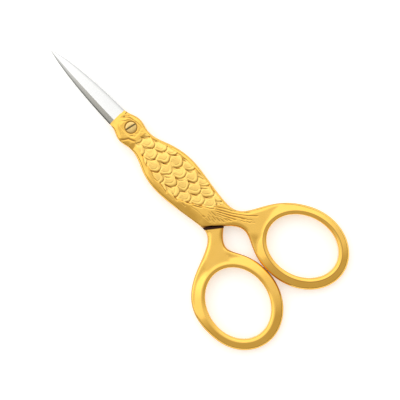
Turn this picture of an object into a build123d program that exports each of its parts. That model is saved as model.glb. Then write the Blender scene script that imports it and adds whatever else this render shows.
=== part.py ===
"""Stork embroidery scissors: two forged halves on one pivot screw, lying closed with the front half up."""
import os
from math import cos, hypot, radians, sin

from build123d import *

# The scissors lie flat. +Y runs to the blade tips, +X to the front half's finger bow, +Z up out of the front
# face. Places are worked out from the pivot, and the whole is moved to its resting place at the end.

# Blades, from the plating line, where bare steel turns to gilding, to the tip
blade_length = 29.2
ridge_height = 1.7
edge_land = 0.1

# Head and body, from the plating line to the tail point. Reaches are measured out from the pivot.
body_length = 47.8
pivot_setback = 5.5
breast_reach = 8.8
back_reach = 6.05
tail_offset = 1.9
half_thickness = 2.1
crown_rise = 0.35
crown_half_width = 4.5
crown_root = 0.05
edge_round_share = 0.4

# Finger bows: the left one, on the back half, is a little wider and sits nearer to the body
bow_heel = 0.2
bow_gap = 0.12
bow_seam_offset = 0.5
front_bow_bar = 3.4
front_hole_half_length = 11.8
front_hole_half_width = 9.3
front_bow_drop = 22.1
front_bow_tilt = 15.2
back_bow_bar = 3.6
back_hole_half_length = 11.7
back_hole_half_width = 9.65
back_bow_drop = 20.1
back_bow_tilt = 13.0

# Working clearances
shear_gap = 0.04
tail_gap = 0.35
pivot_clearance = 0.03
thread_clearance = 0.01

# Pivot screw
screw_diameter = 2.4
screw_head_diameter = 3.6
screw_head_height = 0.75
screw_head_proud = 0.15
screw_end_sink = 0.1
recess_clearance = 0.15
slot_width = 0.55
slot_depth = 0.4
slot_angle = -14.0
cut_overrun = 1.0

# The edges of head and body, as shares of the body's length and of that side's reach
left_edge_shares = [(0.0, 0.449), (0.05, 0.5), (0.107, 0.625), (0.205, 0.568),
                    (0.387, 0.875), (0.575, 1.0), (0.743, 0.903), (0.902, 0.797)]
right_edge_shares = [(0.0, 0.397), (0.055, 0.505), (0.109, 0.625), (0.211, 0.479),
                     (0.366, 0.76), (0.523, 1.0), (0.701, 0.86), (0.914, 0.633)]
crown_span_shares = (0.22, 0.91)

# One blade's stations: share of its length, of each edge's offset at the root, and of the ridge's height
blade_station_shares = [(0.0, 1.0, 1.0, 1.0), (0.33, 0.835, 0.958, 0.86), (0.66, 0.565, 0.72, 0.66),
                        (0.88, 0.285, 0.36, 0.46), (1.0, 0.09, 0.0, 0.24)]
ridge_place_share = 0.3
spine_wall_share = 0.38

# The curves from the body into a bow: where they leave its rim, in degrees from the tail end, and the lengths
# of their handles at the rim and at the body, as shares of the bow's own length
front_outer_angle = 102.0
front_outer_shares = (0.518, 0.297)
front_crotch_angle = 100.0
front_crotch_shares = (0.482, 0.385)
back_outer_angle = 70.0
back_outer_shares = (0.77, 0.337)
back_crotch_angle = 100.0
back_crotch_shares = (0.436, 0.39)

plating_y = pivot_setback
tail_point = Vector(-tail_offset, plating_y - body_length)
inner_face = shear_gap / 2
seam_x = tail_point.X - bow_seam_offset


def edge_points(shares, reach):
    """Points down one edge of head and body."""
    return [Vector(out * reach, plating_y - along * body_length) for along, out in shares]


left_points = edge_points(left_edge_shares, -breast_reach)
right_points = edge_points(right_edge_shares, back_reach)
left_edge = Spline(*left_points)
right_edge = Spline(*right_points)


def body_face():
    """The outline that both halves share: head, neck and body, ending in a V at the tail."""
    plating_line = Line(left_points[0], right_points[0])
    tail = Polyline(left_points[-1], tail_point, right_points[-1])
    return make_face([left_edge, tail, right_edge, plating_line])


class Bow:
    """One finger bow and the tail that joins it to the body. Side is 1 for the front half, -1 for the back."""

    def __init__(self, side, bar, hole_half_length, hole_half_width, drop, tilt):
        self.side = side
        self.half_length = hole_half_length + bar
        self.half_width = hole_half_width + bar
        self.hole_half_length = hole_half_length
        self.hole_half_width = hole_half_width
        self.turn = side * tilt - 90.0
        reach = hypot(self.half_length * sin(radians(tilt)), self.half_width * cos(radians(tilt)))
        self.centre = Vector(seam_x + side * (bow_gap / 2 + reach), tail_point.Y - drop)
        self.hole_centre = self.centre + Vector(side * bow_heel, bow_heel)

    def outline(self, near_edge, far_edge, outer_angle, outer_shares, crotch_angle, crotch_shares):
        """Tail and rim without the finger hole. The outer curve runs on from the near edge of the body, and the
        crotch curve from the end of the other half's tail."""
        rim = EllipticalCenterArc(self.centre, self.half_length, self.half_width,
                                  start_angle=self.side * outer_angle,
                                  arc_size=-self.side * (outer_angle + crotch_angle), rotation=self.turn)
        size = 2 * self.half_length
        corner = near_edge @ 1
        along_tail_end = (tail_point - far_edge @ 1).normalized()
        outer = Bezier(corner, corner + (near_edge % 1) * size * outer_shares[1],
                       rim @ 0 - (rim % 0) * size * outer_shares[0], rim @ 0)
        crotch = Bezier(rim @ 1, rim @ 1 + (rim % 1) * size * crotch_shares[0],
                        tail_point + along_tail_end * size * crotch_shares[1], tail_point)
        return make_face([outer, rim, crotch, Line(tail_point, corner)])

    def hole(self):
        """The finger hole."""
        return Pos(self.hole_centre) * Rot(0, 0, self.turn) * Ellipse(self.hole_half_length,
                                                                      self.hole_half_width)


def crown():
    """The low dome over the body, between the neck and the tail."""
    first, last = [plating_y - share * body_length for share in crown_span_shares]
    radius = (crown_half_width ** 2 + crown_rise ** 2) / (2 * crown_rise)
    middle_x = (back_reach - breast_reach) / 2
    axis_z = half_thickness + crown_rise - radius
    ends = [(middle_x, y, half_thickness) for y in (first, last)]
    top = (middle_x, (first + last) / 2, half_thickness + crown_rise)
    arc = ThreePointArc(ends[0], top, ends[1])
    base = Polyline(ends[1], (middle_x, last, axis_z), (middle_x, first, axis_z), ends[0])
    barrel = revolve(make_face([arc, base]), Axis((middle_x, 0, axis_z), (0, 1, 0)), 360)
    slab = Box(2 * radius, 2 * body_length, 2 * crown_rise, align=(Align.CENTER, Align.CENTER, Align.MIN))
    return barrel & (Pos(middle_x, 0, half_thickness - crown_root) * slab)


def rounded(solid, height, edges_left_sharp):
    """Round the edges at one height, except those that the test leaves sharp. The slimmest bar sets the radius."""
    rim = [edge for edge in solid.edges() if abs((edge @ 0.5).Z - height) < shear_gap]
    slimmest_bar = min(front_bow_bar, back_bow_bar) - hypot(bow_heel, bow_heel)
    return fillet([edge for edge in rim if not edges_left_sharp(edge)], slimmest_bar * edge_round_share)


def on_plating_line(edge):
    """Whether an edge lies where the handle meets its blade."""
    return abs((edge @ 0.5).Y - plating_y) < shear_gap


def is_straight(edge):
    """Whether an edge is straight, as only the ends at the tail gap are."""
    return edge.geom_type == GeomType.LINE


def handle(bow, tail):
    """One half's head, body, tail and bow, with its body above the shear plane."""
    body = body_face()
    upper = Pos(0, 0, inner_face) * extrude((body + tail) - bow.hole(), half_thickness - inner_face)
    lower_face = tail - offset(body, tail_gap) - bow.hole()
    lower = Pos(0, 0, -half_thickness) * extrude(lower_face, half_thickness + inner_face)
    upper = rounded(upper, half_thickness, on_plating_line)
    return upper + rounded(lower, -half_thickness, is_straight) + crown()


def blade(spine_x, edge_x):
    """One blade above the shear plane, from the places of its spine and its cutting edge at the root."""
    spine_column, edge_column = (1, 2) if spine_x < edge_x else (2, 1)
    sections = []
    for station in blade_station_shares:
        y = plating_y + station[0] * blade_length
        spine = spine_x * station[spine_column]
        edge = edge_x * station[edge_column]
        ridge = spine + (edge - spine) * ridge_place_share
        ridge_z = ridge_height * station[3]
        sections.append(Polyline((spine, y, inner_face), (spine, y, ridge_z * spine_wall_share),
                                 (ridge, y, ridge_z), (edge, y, inner_face + edge_land),
                                 (edge, y, inner_face), close=True))
    return loft([make_face(section) for section in sections])


def bored(solid, diameter):
    """A half with its pivot hole."""
    tall = 2 * (half_thickness + cut_overrun)
    return solid - Cylinder(diameter / 2, tall)


def pivot_screw():
    """A plain slotted screw: its head sits in the front half, and its end is threaded into the back half."""
    head_top = half_thickness + screw_head_proud
    head_base = head_top - screw_head_height
    end = screw_end_sink - half_thickness
    stem = Pos(0, 0, end) * Cylinder(screw_diameter / 2, head_base - end,
                                     align=(Align.CENTER, Align.CENTER, Align.MIN))
    head = Pos(0, 0, head_base) * Cylinder(screw_head_diameter / 2, screw_head_height,
                                           align=(Align.CENTER, Align.CENTER, Align.MIN))
    slot = Pos(0, 0, head_top) * Rot(0, 0, slot_angle) * Box(screw_head_diameter + cut_overrun, slot_width,
                                                            2 * slot_depth)
    return stem + head - slot


def recess():
    """The seat for the screw's head in the front half."""
    seat_z = half_thickness + screw_head_proud - screw_head_height
    return Pos(0, 0, seat_z) * Cylinder(screw_head_diameter / 2 + recess_clearance, screw_head_height,
                                        align=(Align.CENTER, Align.CENTER, Align.MIN))


front_bow = Bow(1, front_bow_bar, front_hole_half_length, front_hole_half_width, front_bow_drop, front_bow_tilt)
front_tail = front_bow.outline(right_edge, left_edge, front_outer_angle, front_outer_shares,
                               front_crotch_angle, front_crotch_shares)
back_bow = Bow(-1, back_bow_bar, back_hole_half_length, back_hole_half_width, back_bow_drop, back_bow_tilt)
back_tail = back_bow.outline(left_edge, right_edge, back_outer_angle, back_outer_shares,
                             back_crotch_angle, back_crotch_shares)

front_handle = bored(handle(front_bow, front_tail), screw_diameter + 2 * pivot_clearance) - recess()
back_handle = mirror(bored(handle(back_bow, back_tail), screw_diameter + 2 * thread_clearance), about=Plane.XY)
front_blade = blade(left_points[0].X, right_points[0].X)
back_blade = mirror(blade(right_points[0].X, left_points[0].X), about=Plane.XY)

pieces = {"front_blade": front_blade, "front_handle": front_handle, "back_blade": back_blade,
          "back_handle": back_handle, "pivot_screw": pivot_screw()}

# The origin is the middle of the footprint, at the height of the lowest point
boxes = [piece.bounding_box() for piece in pieces.values()]
left, right = min(box.min.X for box in boxes), max(box.max.X for box in boxes)
near, far = min(box.min.Y for box in boxes), max(box.max.Y for box in boxes)
floor, top = min(box.min.Z for box in boxes), max(box.max.Z for box in boxes)
resting_place = Pos(-(left + right) / 2, -(near + far) / 2, -floor)

os.makedirs("parts", exist_ok=True)
for name, piece in pieces.items():
    export_step(resting_place * piece, f"parts/{name}.step")

print(f"size: {right - left:.2f} {far - near:.2f} {top - floor:.2f}")
places = {"pivot": Vector(), "front hole": front_bow.hole_centre, "back hole": back_bow.hole_centre}
for name, place in places.items():
    x, y, z = resting_place.position + place
    print(f"{name}: {x:.3f} {y:.3f} {z:.3f}")
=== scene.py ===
"""Stork embroidery scissors: two forged halves on a pivot screw, steel blades and gilt carved handles."""
from math import cos, hypot, pi, radians, sin, tau

import bmesh
import bpy
import numpy as np
from mathutils import Matrix, Vector
from mathutils.geometry import delaunay_2d_cdt


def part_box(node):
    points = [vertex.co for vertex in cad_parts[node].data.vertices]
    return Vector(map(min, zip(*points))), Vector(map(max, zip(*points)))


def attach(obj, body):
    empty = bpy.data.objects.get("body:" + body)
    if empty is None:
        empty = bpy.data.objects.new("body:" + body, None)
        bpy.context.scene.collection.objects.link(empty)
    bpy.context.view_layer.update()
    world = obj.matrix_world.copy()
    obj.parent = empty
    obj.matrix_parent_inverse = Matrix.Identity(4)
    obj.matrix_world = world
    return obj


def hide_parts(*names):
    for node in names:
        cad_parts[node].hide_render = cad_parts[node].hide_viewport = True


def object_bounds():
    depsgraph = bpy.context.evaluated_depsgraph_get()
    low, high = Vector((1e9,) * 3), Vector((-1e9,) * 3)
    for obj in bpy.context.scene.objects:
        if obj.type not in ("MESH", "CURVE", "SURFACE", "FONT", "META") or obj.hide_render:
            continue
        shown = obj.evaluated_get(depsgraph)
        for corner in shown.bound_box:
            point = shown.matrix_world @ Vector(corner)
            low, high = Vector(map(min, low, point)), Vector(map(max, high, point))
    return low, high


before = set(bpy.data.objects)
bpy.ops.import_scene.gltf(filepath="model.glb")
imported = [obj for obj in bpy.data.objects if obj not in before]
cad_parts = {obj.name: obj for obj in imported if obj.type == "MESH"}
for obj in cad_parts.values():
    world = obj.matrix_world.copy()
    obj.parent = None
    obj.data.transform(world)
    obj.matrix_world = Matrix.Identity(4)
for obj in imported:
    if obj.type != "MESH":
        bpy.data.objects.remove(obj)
cad_low, cad_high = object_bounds()
scene = bpy.context.scene
scene.view_settings.view_transform = "Standard"

# The camera
# A long lens looks straight down on the scissors, which lie slantwise across the picture with the blades to its
# upper left.
VIEW_WIDTH = 0.12515
VIEW_MIDDLE = (0.001667, -0.00881)
VIEW_UP = (0.7169, 0.6972, 0.0)
LENS = 135.0
SENSOR = 36.0
NEAREST_SEEN = 0.01

camera_data = bpy.data.cameras.new("camera")
camera_data.lens = LENS
camera_data.sensor_width = SENSOR
camera_data.clip_start = NEAREST_SEEN
camera = bpy.data.objects.new("camera", camera_data)
scene.collection.objects.link(camera)
up = Vector(VIEW_UP).normalized()
out = Vector((0.0, 0.0, 1.0))
camera_height = (cad_low.z + cad_high.z) / 2 + VIEW_WIDTH * LENS / SENSOR
turned_so = Matrix((up.cross(out), up, out)).transposed().to_4x4()
camera.matrix_world = Matrix.Translation(Vector((*VIEW_MIDDLE, camera_height))) @ turned_so
scene.camera = camera

# The floor and the lights
# White paper in a white tent. The tent is bright overhead and towards the picture's upper right, greyer and warmer
# to the lower left, and dark at its foot. A panel stands at the picture's left.
FLOOR_HALF = 6.0
FLOOR_CORNERS = ((-1, -1), (1, -1), (1, 1), (-1, 1))
FLOOR_LIFT = 0.36
FLOOR_COLOUR = (0.93, 0.93, 0.93, 1.0)
TENT_BRIGHT_WAY = (0.436, 0.90, 0.0)
TENT_TURN = (-0.45, 0.0)
TENT_BRIGHTENS = (0.04, 0.5)
TENT_DARK, TENT_MIDDLE, TENT_BRIGHT = 0.58, 0.92, 1.38
TENT_DARK_COLOUR = (1.0, 0.92, 0.75, 1.0)
TENT_FOOT = 0.16
TENT_FOOT_HEIGHT = 0.34
WHITE = (1.0, 1.0, 1.0, 1.0)
PANEL_PLACE = (-0.40, 0.34, 0.34)
PANEL_SIZE = 0.5
PANEL_POWER = 0.22


def feed(tree, node, given):
    """Give a node's inputs their values, or link other nodes' outputs to them."""
    for label, value in given.items():
        if isinstance(value, bpy.types.NodeSocket):
            tree.links.new(value, node.inputs[label])
        else:
            node.inputs[label].default_value = value


def add_node(tree, kind, given=None, **settings):
    """A new node in a tree, with its settings and then its inputs."""
    node = tree.nodes.new(kind)
    for label, value in settings.items():
        setattr(node, label, value)
    feed(tree, node, given or {})
    return node


def reckoned(tree, operation, a, b):
    """Two numbers put together by a math node."""
    return add_node(tree, "ShaderNodeMath", {0: a, 1: b}, operation=operation).outputs[0]


def ranged(tree, value, low, high, to_low, to_high, easing="LINEAR"):
    """A number that goes from to_low to to_high while value goes from low to high."""
    given = {"Value": value, "From Min": low, "From Max": high, "To Min": to_low, "To Max": to_high}
    return add_node(tree, "ShaderNodeMapRange", given, interpolation_type=easing).outputs["Result"]


def mixed(tree, factor, a, b):
    """Colour a where factor is 0, and b where it is 1."""
    return add_node(tree, "ShaderNodeMix", {"Factor": factor, "A": a, "B": b}, data_type="RGBA").outputs["Result"]


paper = bpy.data.materials.new("white_paper")
paper.use_nodes = True
tree = paper.node_tree
tree.nodes.clear()
grain = add_node(tree, "ShaderNodeBsdfDiffuse", {"Color": FLOOR_COLOUR})
seen = add_node(tree, "ShaderNodeLightPath")
either = reckoned(tree, "MAXIMUM", seen.outputs["Is Camera Ray"], seen.outputs["Is Glossy Ray"])
glow = add_node(tree, "ShaderNodeEmission", {"Strength": reckoned(tree, "MULTIPLY", either, FLOOR_LIFT)})
both = add_node(tree, "ShaderNodeAddShader", {0: grain.outputs[0], 1: glow.outputs[0]})
add_node(tree, "ShaderNodeOutputMaterial", {"Surface": both.outputs[0]})

floor_mesh = bpy.data.meshes.new("floor")
floor_mesh.from_pydata([(x * FLOOR_HALF, y * FLOOR_HALF, cad_low.z) for x, y in FLOOR_CORNERS], [], [(0, 1, 2, 3)])
floor = bpy.data.objects.new("floor", floor_mesh)
floor.data.materials.append(paper)
scene.collection.objects.link(floor)

world = bpy.data.worlds.new("tent")
world.use_nodes = True
tree = world.node_tree
outlook = add_node(tree, "ShaderNodeTexCoord").outputs["Generated"]
toward = add_node(tree, "ShaderNodeVectorMath", {0: outlook, 1: TENT_BRIGHT_WAY}, operation="DOT_PRODUCT")
turned = ranged(tree, toward.outputs["Value"], *TENT_TURN, 0.0, 1.0, "SMOOTHSTEP")
wall_light = ranged(tree, turned, 0.0, 1.0, TENT_DARK, TENT_MIDDLE)
bright_side = ranged(tree, toward.outputs["Value"], *TENT_BRIGHTENS, 0.0, TENT_BRIGHT - TENT_MIDDLE, "SMOOTHSTEP")
above = add_node(tree, "ShaderNodeSeparateXYZ", {"Vector": outlook})
foot_of_tent = ranged(tree, above.outputs["Z"], 0.0, TENT_FOOT_HEIGHT, TENT_FOOT, 1.0, "SMOOTHSTEP")
tent_wall = tree.nodes["Background"]
feed(tree, tent_wall, {
    "Color": mixed(tree, turned, TENT_DARK_COLOUR, WHITE),
    "Strength": reckoned(tree, "MULTIPLY", reckoned(tree, "ADD", wall_light, bright_side), foot_of_tent)})
# The camera sees white card behind the tent
card = add_node(tree, "ShaderNodeBackground", {"Color": WHITE})
straight = add_node(tree, "ShaderNodeLightPath")
backing = add_node(tree, "ShaderNodeMixShader",
                   {0: straight.outputs["Is Camera Ray"], 1: tent_wall.outputs[0], 2: card.outputs[0]})
feed(tree, tree.nodes["World Output"], {"Surface": backing.outputs[0]})
scene.world = world

lamp = bpy.data.lights.new("left_panel", "AREA")
lamp.size = PANEL_SIZE
lamp.energy = PANEL_POWER
panel = bpy.data.objects.new("left_panel", lamp)
panel.location = PANEL_PLACE
panel.rotation_euler = (-Vector(PANEL_PLACE)).to_track_quat("-Z", "Y").to_euler()
panel.visible_camera = False
scene.collection.objects.link(panel)

# The blades
# Each blade is ground from the same forging as its handle: a narrow bevel by the spine, a ridge, and a wide facet,
# faintly hollow, down to the cutting edge. Its inner face is hollow too, so that the two meet at their edges.
MM = 0.001
PLATING_Y = 5.5
BLADE_LENGTH = 29.2
LEFT_ROOT = -3.951
RIGHT_ROOT = 2.402
INNER_FACE = 0.02
RIDGE_HEIGHT = 1.7
BLADE_STATIONS = [(0.0, 1.0, 1.0, 1.0), (0.33, 0.835, 0.958, 0.86), (0.66, 0.565, 0.72, 0.66),
                  (0.88, 0.285, 0.36, 0.37), (1.0, 0.09, 0.0, 0.14)]
RIDGE_PLACE = 0.3
SPINE_WALL = 0.38
TIP_WALL = 0.72
SPINE_BEVEL = 0.045
SPINE_BEVEL_DROP = 0.42
EDGE_LAND = 0.1
EDGE_BEVEL = 0.055
EDGE_BEVEL_RISE = 0.115
HOLLOW_DEPTH = 0.045
BLADE_SLICES = 90
FAIRED_POINTS = 200
ROOT_LAP = 0.004
SPINE_FOOT = 0.04
BEVEL_FULLNESS = 1.2
BEVEL_PLACES = (0.1, 0.3, 0.5, 0.7, 0.85, 0.97)
FACET_PLACES = (0.0, 0.02, 0.2, 0.4, 0.6, 0.8, 0.95, 1.0)
INNER_PLACES = (0.85, 0.5, 0.15, 0.01)
BLADE_SHARP_ANGLE = 14
# How much painted shade a section's points get, from the back edge over the bevel, then on the facet, and at the
# cutting edge
BACK_SHADES = [1.0, 1.0, 0.95, 0.7, 0.5, 0.42, 0.36, 0.3, 0.25]
FACET_SHADE = 0.06
EDGE_SHADES = [0.2, 0.4, 0.4]
EDGE_SHADES_FROM = 15
STEEL_DARK = (0.80, 0.80, 0.785, 1.0)
STEEL_LIGHT = (0.87, 0.87, 0.86, 1.0)
# The grey that the painted shade mixes into the steel
BLADE_SHADE_GREY = (0.13, 0.135, 0.12, 1.0)
STEEL_ROUGHNESS = (0.16, 0.34)
GRIND_SCALE = (400.0, 9000.0, 400.0)

screw_low, screw_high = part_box("pivot_screw")
pivot = Vector(((screw_low.x + screw_high.x) / 2, (screw_low.y + screw_high.y) / 2, (cad_low.z + cad_high.z) / 2))


def in_place(points):
    """Points in millimetres from the pivot, in the frame's metres."""
    return np.asarray(points, float) * MM + np.array(pivot)


def fair_line(points, count):
    """A smooth line through points, evenly sampled, and its direction at its end."""
    points = np.array(points, float)
    at = np.r_[0.0, np.cumsum(np.hypot(*np.diff(points[:, :2], axis=0).T))]
    gaps = np.diff(at)
    ends = []
    for place, four in ((at[0], slice(0, 4)), (at[-1], slice(-4, None))):
        ends.append([np.polyval(np.polyder(np.polyfit(at[four] - place, column[four], 3)), 0.0)
                     for column in points.T])
    system = np.eye(len(at))
    wanted = np.zeros_like(points)
    wanted[0], wanted[-1] = ends
    for i in range(1, len(at) - 1):
        system[i, i - 1:i + 2] = gaps[i], 2 * (gaps[i - 1] + gaps[i]), gaps[i - 1]
        wanted[i] = 3 * ((points[i] - points[i - 1]) / gaps[i - 1] * gaps[i]
                         + (points[i + 1] - points[i]) / gaps[i] * gaps[i - 1])
    slopes = np.linalg.solve(system, wanted)
    sampled = np.linspace(at[0], at[-1], count)
    i = np.clip(np.searchsorted(at, sampled, side="right") - 1, 0, len(gaps) - 1)
    gap = gaps[i][:, None]
    w = (sampled - at[i])[:, None] / gap
    line = ((2 * w ** 3 - 3 * w ** 2 + 1) * points[i] + (w ** 3 - 2 * w ** 2 + w) * gap * slopes[i]
            + (3 * w ** 2 - 2 * w ** 3) * points[i + 1] + (w ** 3 - w ** 2) * gap * slopes[i + 1])
    return line, slopes[-1]


def solid_mesh(name, vertices, faces, material, sharp_angle):
    """A closed piece from vertices in place, smooth but for its sharp edges."""
    mesh = bpy.data.meshes.new(name)
    mesh.from_pydata([tuple(v) for v in vertices], [], faces)
    shape = bmesh.new()
    shape.from_mesh(mesh)
    bmesh.ops.recalc_face_normals(shape, faces=shape.faces)
    shape.to_mesh(mesh)
    shape.free()
    mesh.polygons.foreach_set("use_smooth", [True] * len(mesh.polygons))
    mesh.set_sharp_from_angle(angle=radians(sharp_angle))
    mesh.materials.append(material)
    piece = bpy.data.objects.new(name, mesh)
    scene.collection.objects.link(piece)
    return piece


def ring_faces(rings, count):
    """Faces between rings of vertices that follow one another, each of the same count."""
    return [[r * count + k, r * count + (k + 1) % count, (r + 1) * count + (k + 1) % count, (r + 1) * count + k]
            for r in range(rings - 1) for k in range(count)]


def blade_piece(name, spine_root, edge_root, face, material):
    """One blade, with face 1 above the shear plane and -1 below it."""
    spine_column, edge_column = (1, 2) if spine_root < edge_root else (2, 1)
    stations = np.array(BLADE_STATIONS)
    shares = np.linspace(-ROOT_LAP, 1.0, BLADE_SLICES)
    fitted = [np.interp(shares, *fair_line(stations[:, [0, k]], FAIRED_POINTS)[0].T) for k in (1, 2, 3)]
    rings = []
    for share, *row in zip(shares, *fitted):
        along = PLATING_Y + share * BLADE_LENGTH
        spine = spine_root * row[spine_column - 1]
        edge = edge_root * row[edge_column - 1]
        ridge_z = RIDGE_HEIGHT * row[2]
        wall_z = ridge_z * (SPINE_WALL + (TIP_WALL - SPINE_WALL) * share ** 2)
        width = edge - spine
        hollow = HOLLOW_DEPTH * abs(width / (LEFT_ROOT - RIGHT_ROOT))
        bevel_z = INNER_FACE + EDGE_LAND + (ridge_z - INNER_FACE - EDGE_LAND) * EDGE_BEVEL_RISE
        facet = [(t * (1 - EDGE_BEVEL), bevel_z + (ridge_z - bevel_z) * (1 - t) - hollow * sin(pi * t))
                 for t in FACET_PLACES] + [(1.0, INNER_FACE + EDGE_LAND)]
        section = [(spine, INNER_FACE + SPINE_FOOT), (spine, wall_z * (1 - SPINE_BEVEL_DROP)),
                   (spine + SPINE_BEVEL * width, wall_z)]
        section += [(spine + width * (SPINE_BEVEL + (RIDGE_PLACE - SPINE_BEVEL) * t),
                     wall_z + (ridge_z - wall_z) * t ** BEVEL_FULLNESS) for t in BEVEL_PLACES]
        section += [(spine + width * (RIDGE_PLACE + (1 - RIDGE_PLACE) * t), z) for t, z in facet]
        section += [(edge, INNER_FACE)]
        section += [(spine + width * t, INNER_FACE + hollow * sin(pi * t)) for t in INNER_PLACES]
        rings.append([(x, along, face * z) for x, z in section])
    count = len(rings[0])
    vertices = in_place([point for ring in rings for point in ring])
    faces = ring_faces(len(rings), count)
    faces += [list(range(count)), [(len(rings) - 1) * count + k for k in range(count)]]
    blade = solid_mesh(name, vertices, faces, material, BLADE_SHARP_ANGLE)
    # Painted shade: dark along the narrow back edge, lighter over the bevel, faint on the facet, grey at the cutting
    # edge
    back = blade.data.attributes.new("back", "FLOAT", "POINT")
    shade = BACK_SHADES + [FACET_SHADE] * (count - len(BACK_SHADES))
    shade[EDGE_SHADES_FROM:EDGE_SHADES_FROM + len(EDGE_SHADES)] = EDGE_SHADES
    back.data.foreach_set("value", shade * len(rings))
    return blade


def metal(name):
    """A metal material, its tree, its shader and the coordinates of the piece it is on."""
    material = bpy.data.materials.new(name)
    material.use_nodes = True
    tree = material.node_tree
    shader = tree.nodes["Principled BSDF"]
    shader.inputs["Metallic"].default_value = 1.0
    return material, tree, shader, add_node(tree, "ShaderNodeTexCoord").outputs["Object"]


def noise(tree, place, scale, detail):
    given = {"Vector": place, "Scale": scale, "Detail": detail}
    return add_node(tree, "ShaderNodeTexNoise", given).outputs["Fac"]


def painted(tree, label):
    """What a piece's attribute says."""
    return add_node(tree, "ShaderNodeAttribute", attribute_name=label).outputs["Fac"]


def bumped(tree, height, strength, distance, **under):
    """A bump by height, over another bump where Normal is given."""
    given = {"Height": height, "Strength": strength, "Distance": distance, **under}
    return add_node(tree, "ShaderNodeBump", given).outputs["Normal"]


steel, tree, shader, place = metal("polished_steel")
grind = add_node(tree, "ShaderNodeMapping", {"Vector": place, "Scale": GRIND_SCALE}).outputs["Vector"]
lines = noise(tree, grind, scale=1.0, detail=4.0)
cloud = noise(tree, place, scale=160.0, detail=3.0)
# The back attribute paints shade into the steel's colour
feed(tree, shader, {
    "Base Color": mixed(tree, painted(tree, "back"), mixed(tree, lines, STEEL_DARK, STEEL_LIGHT), BLADE_SHADE_GREY),
    "Roughness": ranged(tree, cloud, 0.0, 1.0, *STEEL_ROUGHNESS),
    "Normal": bumped(tree, lines, strength=0.12, distance=0.00002)})

front_blade = blade_piece("front_blade_ground", LEFT_ROOT, RIGHT_ROOT, 1, steel)
back_blade = blade_piece("back_blade_ground", RIGHT_ROOT, LEFT_ROOT, -1, steel)
for blade, node, body in ((front_blade, "front_blade", "front_half"), (back_blade, "back_blade", "back_half")):
    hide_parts(node)
    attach(blade, body)

# The handles
# Each half's head, body, tail and finger bow are one forging with its blade, filed round, chased on the outer face
# and gilt. The halves share the outline of head and body, and each has its own bow.
BODY_LENGTH = 47.8
BREAST_REACH = 8.8
BACK_REACH = 6.05
LEFT_EDGE = [(0.0, 0.449), (0.05, 0.5), (0.107, 0.625), (0.205, 0.568),
             (0.387, 0.875), (0.575, 1.0), (0.743, 0.903), (0.902, 0.797)]
RIGHT_EDGE = [(0.0, 0.397), (0.055, 0.505), (0.109, 0.625), (0.211, 0.479),
              (0.366, 0.76), (0.523, 1.0), (0.701, 0.86), (0.914, 0.633)]
TAIL_POINT = np.array((-1.9, -42.3))
SEAM_X = -2.4
BOW_GAP = 0.12
BOW_HEEL = 0.2
# Bar, hole half length and half width, drop, tilt, then angle and handle lengths of the outer and crotch curves
BOWS = {1: (3.4, 11.8, 9.3, 22.1, 15.2, 102.0, (0.518, 0.297), 100.0, (0.482, 0.385)),
        -1: (3.6, 11.7, 9.65, 20.1, 13.0, 70.0, (0.77, 0.337), 100.0, (0.436, 0.39))}
TAIL_GAP = (0.3, 0.75)
# How close the mesh's points stand, and where the fine ones end and the coarse ones take over
EDGE_POINTS, RIM_POINTS, HOLE_POINTS, CURVE_POINTS, EYE_POINTS = 400, 600, 200, 121, 48
OUTLINE_STEP = 0.33
FINE_STEP = 0.13
COARSE_STEP = 0.55
FINE_FROM, FINE_LEFT, FINE_RIGHT = -49.5, -9.2, 9.5
COARSE_FROM, COARSE_RIGHT = -49.3, 9.4
EDGE_ROWS = (0.02, 0.07, 0.15, 0.27, 0.43, 0.63, 0.87, 1.15, 1.47)
DEEP_ROWS = 0.5
DEEP_ROWS_TO = -41.0
EYE_ROWS = (-0.02, 0.02, 0.1, 0.22)
EYE_CLEAR = 0.3
FINE_CLEAR = 0.5
COARSE_CLEAR = 1.6
INNER_ROWS_FROM = 3.0
GRID_ROW_SHARE = 0.866
STEP_ROWS = (-0.6, -0.4, -0.2, 0.0, 0.04, 0.2, 0.4, 0.6)
STEP_ROW_STEP = 0.15
HANDLE_SHARP_ANGLE = 60
# Where one form passes into the next: at heights y, or by millimetres from an edge
FREED = (0.0, 4.0)
TAIL_TO_BODY = (-44.0, -35.0)
INTO_BOW = (7.0, 4.2)
NECK_BEGINS = (-3.5, -5.5)
NECK_ENDS = (-17.0, -13.0)
BEVEL_ENDS = (-17.0, -11.0)
BODY_BEGINS = (-2.0, -9.0)
BODY_ENDS = (-43.0, -34.0)
BOW_BEGINS = (-36.0, -44.0)
FACET_BEGINS = (-26.0, -30.0)
HEAD_ROOF = (2.6, 5.2)
FIELD_BEGINS = (-3.9, -5.2)
FIELD_EDGE = (0.1, 0.4)
TAIL_END_EDGE = (0.8, 0.3)
GAP_NEAR, GAP_FAR = (-0.6, -0.2), (0.3, 0.05)
GAP_STARTS = -0.5
ROUND_REACH = 2.2
BODY_REACH_MORE = 0.3
BOW_REACH_LESS = 0.6
LEAST_REACH = 1.2
TAIL_END_WALL = 0.9
HEAD_ROOF_SHIFT = 0.17
HEAD_ROOF_RISE = 0.11
HEAD_ROOF_LIFT = 0.04
HEAD_ROOF_LIMITS = (0.15, 2.3)
BAR_TOP = 2.2
CROWN_TOP = 2.43
CROWN_MIDDLE = -1.4
CROWN_HALF = 8.5
SHANK_TOP = 1.85
SHANK_LEAST = 1.0
SHANK_WIDENS = (3.5, 6.5)
SHANK_BLEND = 0.06
UNDERSIDE_SHIFT = 8.0
BOW_WALL = 0.4
BODY_WALL = 0.85
BOW_EDGE = 0.9
NECK_EDGE = 1.0
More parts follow.
